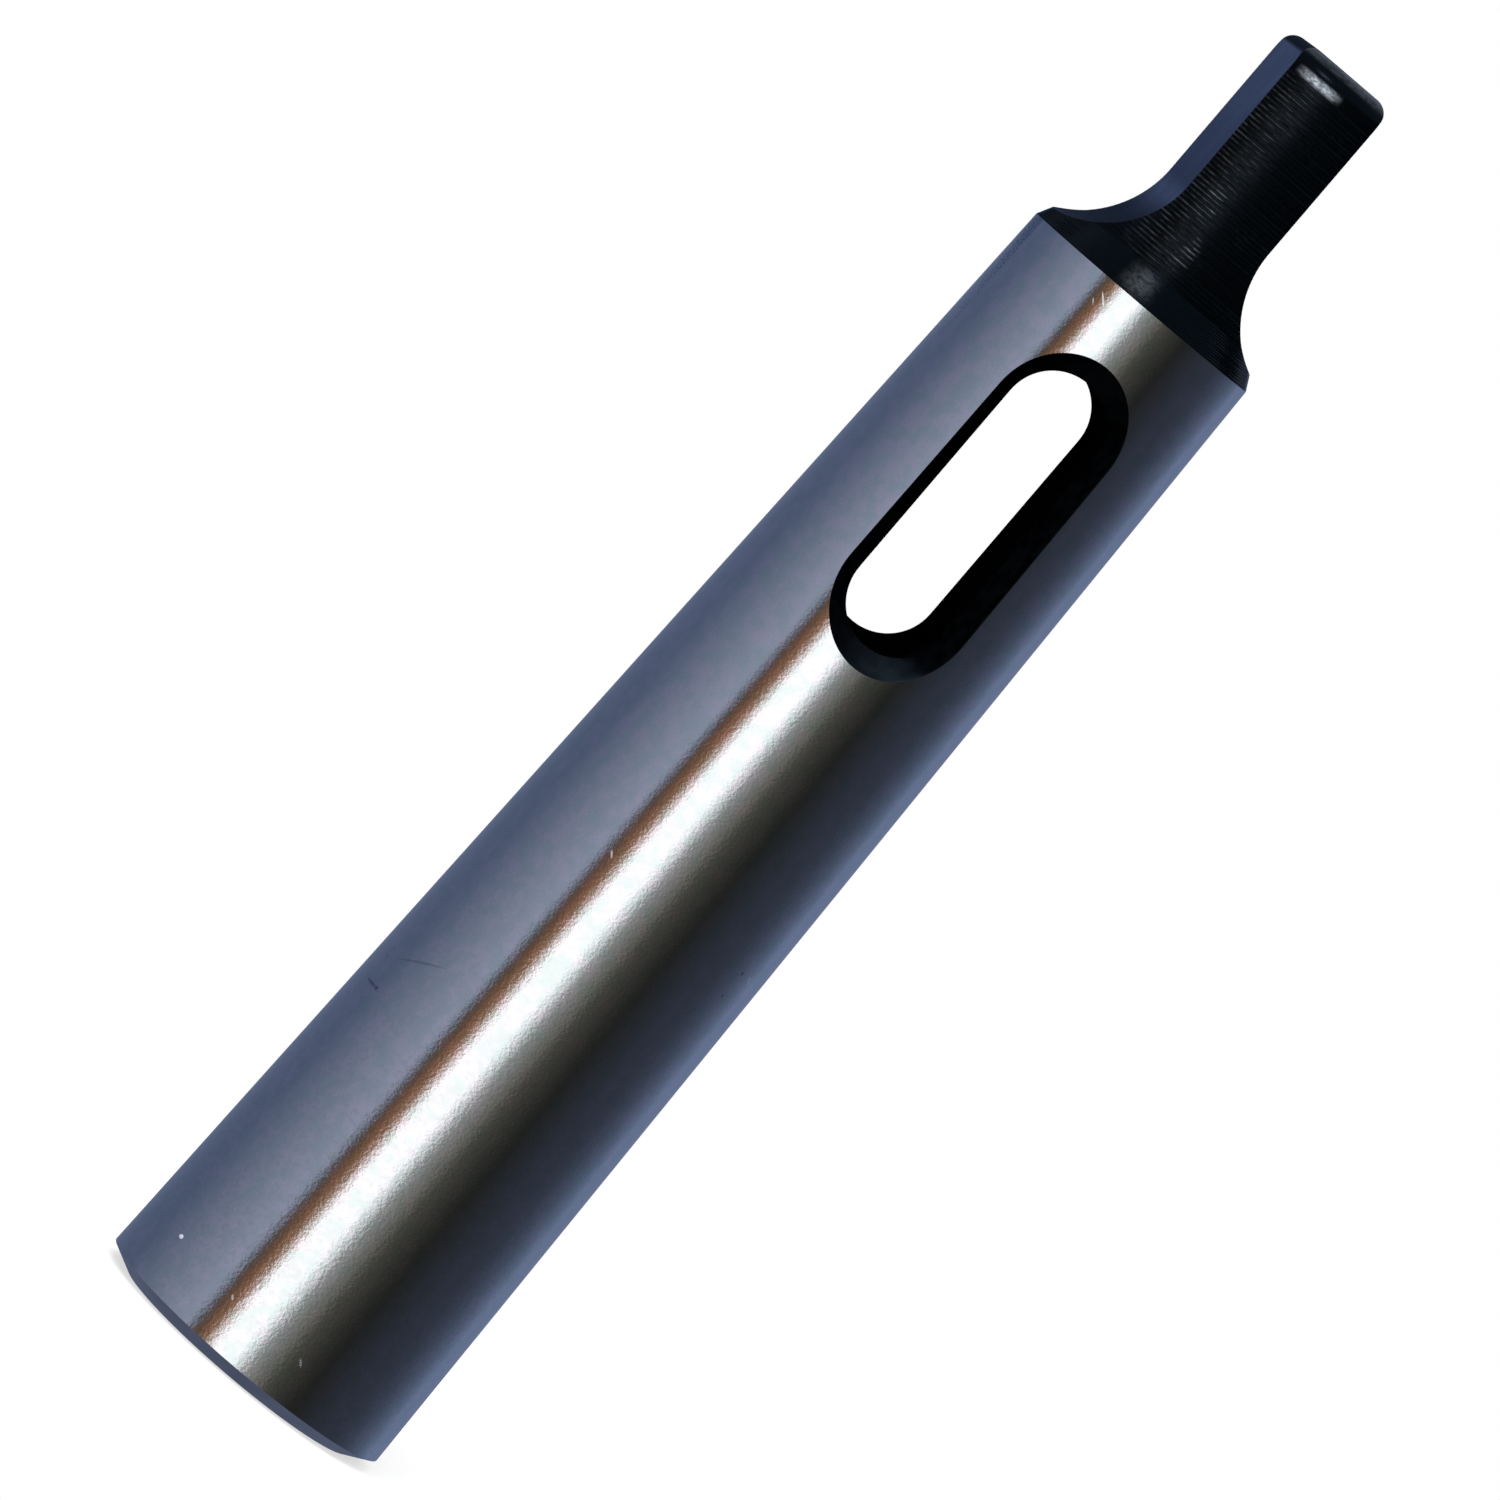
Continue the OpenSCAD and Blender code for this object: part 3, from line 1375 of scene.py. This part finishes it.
    def grooves(self) -> list[Groove]:
        """Draws the grooves of the shoulder and the turned sides, each a little unlike the last.

        Returns:
            The grooves, from the lowest up.
        """
        spread = np.random.default_rng(self.seed)
        made = []
        runs = (
            (self.taper.ground_z, self.shoulder_z, self.shoulder_pitch, self.shoulder_depth),
            (self.shoulder_z, self.taper.length - self.tip_r, self.side_pitch, self.side_depth),
        )
        for start, end, pitch, depth in runs:
            count = round((end - start) / pitch)
            true_pitch = (end - start) / count
            depths = depth * spread.uniform(0.5, 1.0, count)
            skews = self.groove_skew * spread.uniform(-1.0, 1.0, count)
            made += [
                Groove(start + k * true_pitch, true_pitch, float(d), float(s))
                for k, (d, s) in enumerate(zip(depths, skews))
            ]
        return made

    def build(self, skin: Skin) -> np.ndarray:
        """Adds the shoulder, the turned sides, the flats and the rounded tip.

        Args:
            skin: Takes the surfaces.

        Returns:
            The outline of the tang's end face.
        """
        place = np.linspace(-1, 1, self.groove_rows)
        for groove in self.grooves():
            z = groove.z + (place + 1) / 2 * groove.pitch
            middle = np.full_like(z, groove.z + groove.pitch / 2)
            slope = self.turned(middle)[1]
            nominal = self.turned(middle)[0] + (z - middle) * slope
            radius = nominal - groove.depth * (1 - place**2) * (1 + groove.skew * place)
            steep = 2 * place + groove.skew * (3 * place**2 - 1)
            self._add(skin, z, radius, slope + 2 * groove.depth * steep / groove.pitch)
        turn = np.linspace(0, math.pi / 2, self.tip_rows)
        z = self.taper.length - self.tip_r + self.tip_r * np.sin(turn)
        radius, slope = self.turned(z)
        return self._add(skin, z, radius, slope)[-1]

    def _add(self, skin: Skin, z: np.ndarray, radius: np.ndarray, slope: np.ndarray) -> Rows:
        """Adds a run of sections, with flats and turned sides as surfaces of their own.

        Args:
            skin: Takes the surfaces.
            z: Heights of the sections.
            radius: Radius of the turned sides at each.
            slope: Slope of the turned sides at each.

        Returns:
            The points by section.
        """
        sections = [self.section(*values) for values in zip(z, radius, slope)]
        points = np.stack([s[0] for s in sections])
        normals = np.stack([s[1] for s in sections])
        on_flat = sections[0][2]
        closed_points = np.concatenate([points, points[:, :1]], axis=1)
        closed_normals = np.concatenate([normals, normals[:, :1]], axis=1)
        for column, flat in enumerate(on_flat):
            pair = slice(column, column + 2)
            kind = Surface.MILLED_OXIDE if flat else Surface.TURNED_OXIDE
            skin.grid(closed_points[:, pair], closed_normals[:, pair], kind, closed=False)
        return points


@dataclass(frozen=True)
class CentreHole:
    """The centre hole in the tang's end, on which the sleeve is ground."""

    length: float
    diameter: float = 3.35
    pilot_d: float = 1.6
    depth: float = 3.5
    angle: float = 60.0
    drill_angle: float = 118.0
    face_rows: int = 5
    hole_rows: int = 4

    def build(self, skin: Skin, outline: np.ndarray) -> None:
        """Adds the end face round the hole, its cone, the pilot and the pilot's point.

        Args:
            skin: Takes the surfaces.
            outline: The outline of the tang's end face.
        """
        angle = np.arctan2(outline[:, 1], outline[:, 0])
        lip = ring_at(self.diameter / 2, self.length, angle)
        share = np.linspace(0, 1, self.face_rows)[:, None, None]
        face = outline + share * (lip - outline)
        skin.grid(face, np.array([0.0, 0.0, 1.0]), Surface.MILLED_OXIDE)
        steep = math.tan(math.radians(self.angle / 2))
        blunt = math.tan(math.radians(self.drill_angle / 2))
        cone_z = self.length - (self.diameter - self.pilot_d) / 2 / steep
        pilot_z = self.length - self.depth
        runs = (
            (self.diameter / 2, self.length, self.pilot_d / 2, cone_z, steep),
            (self.pilot_d / 2, cone_z, self.pilot_d / 2, pilot_z, 0.0),
            (self.pilot_d / 2, pilot_z, 0.0, pilot_z - self.pilot_d / 2 / blunt, blunt),
        )
        share = np.linspace(0, 1, self.hole_rows)[:, None]
        for start_r, start_z, end_r, end_z, slope in runs:
            radius = start_r + share * (end_r - start_r)
            points = ring_at(radius, start_z + share * (end_z - start_z), angle[None, :])
            skin.grid(points, turned_normals(slope, angle, inward=True), Surface.DRILLED)


@dataclass
class Sleeve:
    """The whole sleeve, one piece, standing on its large end."""

    node: str = "sleeve"
    body: str = "root"
    slot_name: str = "steel"
    tang: Tang | None = field(default=None, init=False)
    piece: bpy.types.Object | None = field(default=None, init=False)

    def build(self) -> None:
        """Builds the finished mesh in place of the plain solid."""
        low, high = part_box(self.node)
        taper = OutsideTaper(length=round((high.z - low.z) / MM, 3))
        self.tang = Tang(taper)
        socket = Socket()
        slot = DriftSlot(taper, socket)
        skin = Skin()
        taper.build(skin, slot)
        mouth = socket.build(skin, slot.build(skin))
        skin.flat_ring(mouth, taper.end_outline(), -1.0, Surface.TURNED_END)
        CentreHole(taper.length).build(skin, self.tang.build(skin))
        self.piece = skin.build("ground_sleeve")
        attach(self.piece, self.body)
        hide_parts(self.node)
        faces = sum(len(p.vertices) - 2 for p in self.piece.data.polygons)
        LOG.info("%s: %d triangles", self.piece.name, faces)

    def dress(self) -> None:
        """Gives each kind of surface its finish."""
        crests = Crests(self.tang.shoulder_z, self.tang.true_side_pitch, Tang.CREST_WEAR_AND_GLINTS)
        finishes = {
            Surface.GROUND: GroundSteel(),
            Surface.TURNED_END: TurnedEnd(),
            Surface.TURNED_OXIDE: BlackOxide(
                "turned_oxide", (*Tang.WEAR_AND_GLINTS, crests), around=2600, along=7000, relief=0.000005
            ),
            Surface.MILLED_OXIDE: BlackOxide("milled_oxide", around=5200, along=5200),
            Surface.SLOT_WALL: SlotOxide("slot_wall_oxide"),
            # The flare's sheen colour paints the reflection at the slot's low end.
            Surface.SLOT_FLARE: SlotOxide(
                "slot_flare_oxide", 0.06, marks=srgb(2, 4, 6), painted_sheen=srgb(20, 29, 35)
            ),
            Surface.REAMED: ReamedSteel(),
            Surface.DRILLED: SlotOxide("drilled_oxide"),
        }
        for kind in Surface:
            self.piece.data.materials.append(finishes[kind].material())
            LOG.info("%s: finish %s", self.piece.name, finishes[kind].name)


@dataclass(frozen=True)
class Card:
    """A tall curved card round the sleeve, in degrees from -Y, that only reflections show."""

    name: str
    left: float
    right: float
    start: Colour
    end: Colour
    strength: float = 1.0
    bend: float = 1.0
    radius: float = 0.42
    low: float = -0.3
    high: float = 0.42
    upward: bool = False
    facet: float = 3.0

    def build(self) -> None:
        """Makes the card with its glow."""
        steps = max(2, round(abs(self.right - self.left) / self.facet))
        turn = np.radians(np.linspace(self.left, self.right, steps + 1))
        side = [(self.radius * math.sin(a), -self.radius * math.cos(a)) for a in turn]
        points = [(x, y, z) for z in (self.low, self.high) for x, y in side]
        faces = [(k, k + 1, k + steps + 2, k + steps + 1) for k in range(steps)]
        mesh = bpy.data.meshes.new(self.name)
        mesh.from_pydata(points, [], faces)
        shares = mesh.uv_layers.new(name="share")
        for loop in mesh.loops:
            up, across = divmod(loop.vertex_index, steps + 1)
            shares.data[loop.index].uv = (across / steps, up)
        mesh.materials.append(self._glow())
        card = linked(self.name, mesh)
        show_only_in_reflections(card)

    def _glow(self) -> bpy.types.Material:
        """Makes the card's glow, which runs from its left edge to its right, or upward.

        Returns:
            The material. A bend above 1 keeps the start's colour longer, one below 1 the end's.
        """
        made = bpy.data.materials.new(self.name)
        graph = Graph(made)
        place = graph.add("ShaderNodeUVMap", {"uv_map": "share"})
        share = graph.add("ShaderNodeSeparateXYZ", {}, {0: place})
        share = share.out("Y" if self.upward else "X")
        colour = graph.mix(share**self.bend, self.start, self.end)
        glow = graph.add("ShaderNodeEmission", {}, {"Color": colour, "Strength": self.strength})
        graph.surface(glow)
        return made


def show_only_in_reflections(piece: bpy.types.Object) -> None:
    """Hides a stage piece from the camera, from plain light and from shadows.

    Args:
        piece: The piece.
    """
    piece.visible_camera = False
    piece.visible_diffuse = False
    piece.visible_shadow = False
    piece.visible_transmission = False


@dataclass(frozen=True)
class Lid:
    """A level round card that closes the ring of cards above or below, in metres."""

    name: str
    height: float
    front: Colour
    behind: Colour
    radius: float = 0.43
    facet: int = 10
    fade: float = 0.12

    def build(self) -> None:
        """Makes the lid, whose glow changes from in front of the sleeve to behind it."""
        turn = np.radians(np.arange(0, 360, self.facet))
        ring = [(self.radius * math.sin(a), -self.radius * math.cos(a), self.height) for a in turn]
        mesh = bpy.data.meshes.new(self.name)
        mesh.from_pydata(ring, [], [tuple(range(len(ring)))])
        made = bpy.data.materials.new(self.name)
        graph = Graph(made)
        colour = graph.mix(graph.parts.out("Y").step(0.0, self.fade), self.front, self.behind)
        graph.surface(graph.add("ShaderNodeEmission", {}, {"Color": colour, "Strength": 1.0}))
        mesh.materials.append(made)
        lid = linked(self.name, mesh)
        show_only_in_reflections(lid)


@dataclass(frozen=True)
class Lamp:
    """A soft square lamp that looks at the sleeve, in degrees, metres and watts."""

    name: str
    azimuth: float
    elevation: float
    distance: float
    size: float
    power: float

    def build(self) -> None:
        """Makes the lamp."""
        back = towards(self.azimuth, self.elevation)
        data = bpy.data.lights.new(self.name, "AREA")
        data.size = self.size
        data.energy = self.power
        lamp = linked(self.name, data)
        lamp.location = back * self.distance
        lamp.rotation_mode = "QUATERNION"
        lamp.rotation_quaternion = (-back).to_track_quat("-Z", "Y")
        lamp.visible_glossy = False


@dataclass(frozen=True)
class Camera:
    """The camera, with the photograph's angle, distance and roll, in degrees and millimetres."""

    azimuth: float = -6.8123
    elevation: float = 3.6071
    roll: float = 40.52
    distance: float = 678.24
    target: tuple[float, float, float] = (-0.37, -0.04, 43.36)
    lens: float = 300.8
    sensor: float = 36.0
    clip: tuple[float, float] = (0.01, 20.0)

    def build(self) -> None:
        """Makes the camera and gives it to the scene."""
        back = towards(self.azimuth, self.elevation)
        data = bpy.data.cameras.new("photo_camera")
        data.lens = self.lens
        data.sensor_width = self.sensor
        data.clip_start, data.clip_end = self.clip
        camera = linked("photo_camera", data)
        camera.rotation_mode = "QUATERNION"
        camera.location = (Vector(self.target) + back * self.distance) * MM
        level = (-back).to_track_quat("-Z", "Y")
        camera.rotation_quaternion = level @ Quaternion((0, 0, 1), math.radians(self.roll))
        bpy.context.scene.camera = camera


@dataclass(frozen=True)
class Studio:
    """Pale floor, plain soft lamps, and the cards that the steel reflects."""

    facing: float
    floor_colour: Colour = srgb(250, 250, 250)
    fill: float = 0.75
    lift: float = 0.62
    shadow_start: float = 0.02
    shadow_end: float = 0.1
    floor_half: float = 6.0

    def build(self) -> None:
        """Sets up the studio."""
        self._world()
        self._floor()
        lamps = (
            Lamp("key_lamp", -35.0, 48.0, 0.9, 0.7, 9.0),
            Lamp("fill_lamp", 60.0, 40.0, 1.0, 1.0, 5.0),
        )
        lids = (
            Lid("canopy", 0.42, (0.28, 0.38, 0.5, 1.0), (0.65, 0.75, 1.0, 1.0)),
            Lid("pit_card", -0.3, (0.015, 0.018, 0.024, 1.0), (0.098, 0.116, 0.175, 1.0)),
        )
        for piece in (*lamps, *self.cards(), *lids):
            piece.build()
            LOG.info("stage: %s", piece.name)

    def cards(self) -> list[Card]:
        """Lists the cards from behind the sleeve's left, past the camera, to behind its right.

        Returns:
            The cards.
        """
        f = self.facing
        dim = (0.05, 0.06, 0.09, 1.0)
        skirt = (0.11, 0.13, 0.195, 1.0)
        back = (0.15, 0.185, 0.3, 1.0)
        behind = (0.03, 0.045, 0.11, 1.0)
        above = (0.12, 0.175, 0.36, 1.0)
        night = (0.012, 0.02, 0.04, 1.0)
        sky = (0.65, 0.75, 1.0, 1.0)
        left_edge = (0.122, 0.158, 0.262, 1.0)
        left_light = (0.415, 0.46, 0.59, 1.0)
        cool = (0.125, 0.115, 0.13, 1.0)
        brown = (0.4, 0.2, 0.115, 1.0)
        pale = (0.5, 0.515, 0.51, 1.0)
        olive = (0.15, 0.145, 0.122, 1.0)
        dark = (0.024, 0.025, 0.023, 1.0)
        navy = (0.044, 0.053, 0.078, 1.0)
        right_edge = (0.2, 0.262, 0.42, 1.0)
        lamp = (0.9, 1.08, 1.3, 1.0)
        loft = (0.055, 0.085, 0.13, 1.0)
        loft_light = (0.45, 0.52, 0.65, 1.0)
        return [
            Card("skirt_card", f + 138, f + 225, skirt, skirt, high=-0.08),
            Card("back_left_card", f - 180, f - 135, back, left_edge, low=-0.08, high=0.072),
            Card("behind_left_card", f - 180, f - 135, behind, above, low=0.072, high=0.096, upward=True),
            Card("dusk_left_card", f - 180, f - 135, above, night, low=0.096, high=0.12, upward=True),
            Card("above_left_card", f - 180, f - 135, night, sky, bend=2.2, low=0.12, upward=True),
            Card("edge_card", f - 135, f - 116, left_edge, left_edge, high=0.13),
            Card("left_card", f - 116, f - 42.3, left_edge, left_light, bend=1.35, high=0.13),
            Card("loft_left_card", f - 135, f - 42.3, loft, loft_light, low=0.13),
            Card("seam_card", f - 42.3, f - 35.3, left_light, cool),
            Card("warm_card", f - 35.3, f - 26, (0.135, 0.083, 0.06, 1), brown, bend=1.3),
            Card("glow_card", f - 26, f - 18.5, brown, (1.5, 1.45, 1.43, 1), bend=1.35),
            Card("key_card", f - 18.5, f - 2, WHITE, WHITE, 1.76, low=-0.1, high=0.3),
            Card("over_key_card", f - 18.5, f - 2, dim, dim, low=0.3),
            Card("under_key_card", f - 18.5, f - 2, dim, dim, high=-0.1),
            Card("fade_card", f - 2, f + 8, (1.75, 1.8, 1.8, 1), pale),
            Card("pale_card", f + 8, f + 24, pale, olive, bend=0.6),
            Card("low_card", f + 24, f + 50, olive, dark, bend=0.42),
            Card("dark_card", f + 50, f + 82, dark, navy, high=0.13),
            Card("right_card", f + 82, f + 138, navy, right_edge, bend=2.1, high=0.13),
            Card("loft_right_card", f + 50, f + 138, night, night, low=0.13),
            Card("back_right_card", f + 138, f + 180, right_edge, back, low=-0.08, high=0.13),
            Card("above_right_card", f + 138, f + 180, night, sky, low=0.13, upward=True),
            Card("glint_card", f - 17, f - 3, lamp, lamp, 10.0, radius=0.22, low=0.35, high=0.415),
        ]

    def _world(self) -> None:
        """White for the camera, reflections and glass, and a soft fill for everything else."""
        world = bpy.data.worlds.new("studio")
        bpy.context.scene.world = world
        graph = Graph(world)
        strength = self.fill + self._shown(graph) * (1.0 - self.fill)
        white = graph.add("ShaderNodeBackground", {}, {"Color": WHITE, "Strength": strength})
        graph.add("ShaderNodeOutputWorld", {}, {"Surface": white})

    @staticmethod
    def _shown(graph: Graph) -> Field:
        """Tells the rays that show the background to the camera, to metal or to glass.

        Args:
            graph: Nodes of the world or the floor.

        Returns:
            1 for such rays, else 0.
        """
        path = graph.add("ShaderNodeLightPath")
        seen = path.out("Is Camera Ray") + path.out("Is Glossy Ray")
        return (seen + path.out("Is Transmission Ray")).step(0.0, 1.0)

    def _floor(self) -> None:
        """A wide plain floor that keeps the sleeve's shadow and is white away from it."""
        half = self.floor_half
        mesh = bpy.data.meshes.new("floor")
        corners = [(-half, -half, 0), (half, -half, 0), (half, half, 0), (-half, half, 0)]
        mesh.from_pydata(corners, [], [(0, 1, 2, 3)])
        made = bpy.data.materials.new("floor")
        graph = Graph(made)
        values = {"Base Color": self.floor_colour, "Roughness": 1.0, "Specular IOR Level": 0.0}
        lit = graph.add("ShaderNodeBsdfPrincipled", {}, values)
        white = graph.add("ShaderNodeEmission", {}, {"Color": WHITE, "Strength": 1.0})
        far = graph.place.length().step(self.shadow_start, self.shadow_end)
        share = self._shown(graph) * (self.lift + (1.0 - self.lift) * far)
        graph.surface(graph.add("ShaderNodeMixShader", {}, {0: share, 1: lit, 2: white}))
        mesh.materials.append(made)
        floor = linked("floor", mesh)
        floor.visible_glossy = False


def main() -> None:
    """Loads the frame, builds and dresses the sleeve, and sets up the studio and the camera."""
    logging.basicConfig(level=logging.INFO, format="%(message)s")
    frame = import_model()
    LOG.info("packed nodes: %s", ", ".join(frame["nodes"]))
    bpy.context.scene.view_settings.view_transform = "Standard"
    camera = Camera()
    camera.build()
    sleeve = Sleeve()
    sleeve.build()
    sleeve.dress()
    Studio(facing=camera.azimuth).build()


if __name__ == "__main__":
    main()
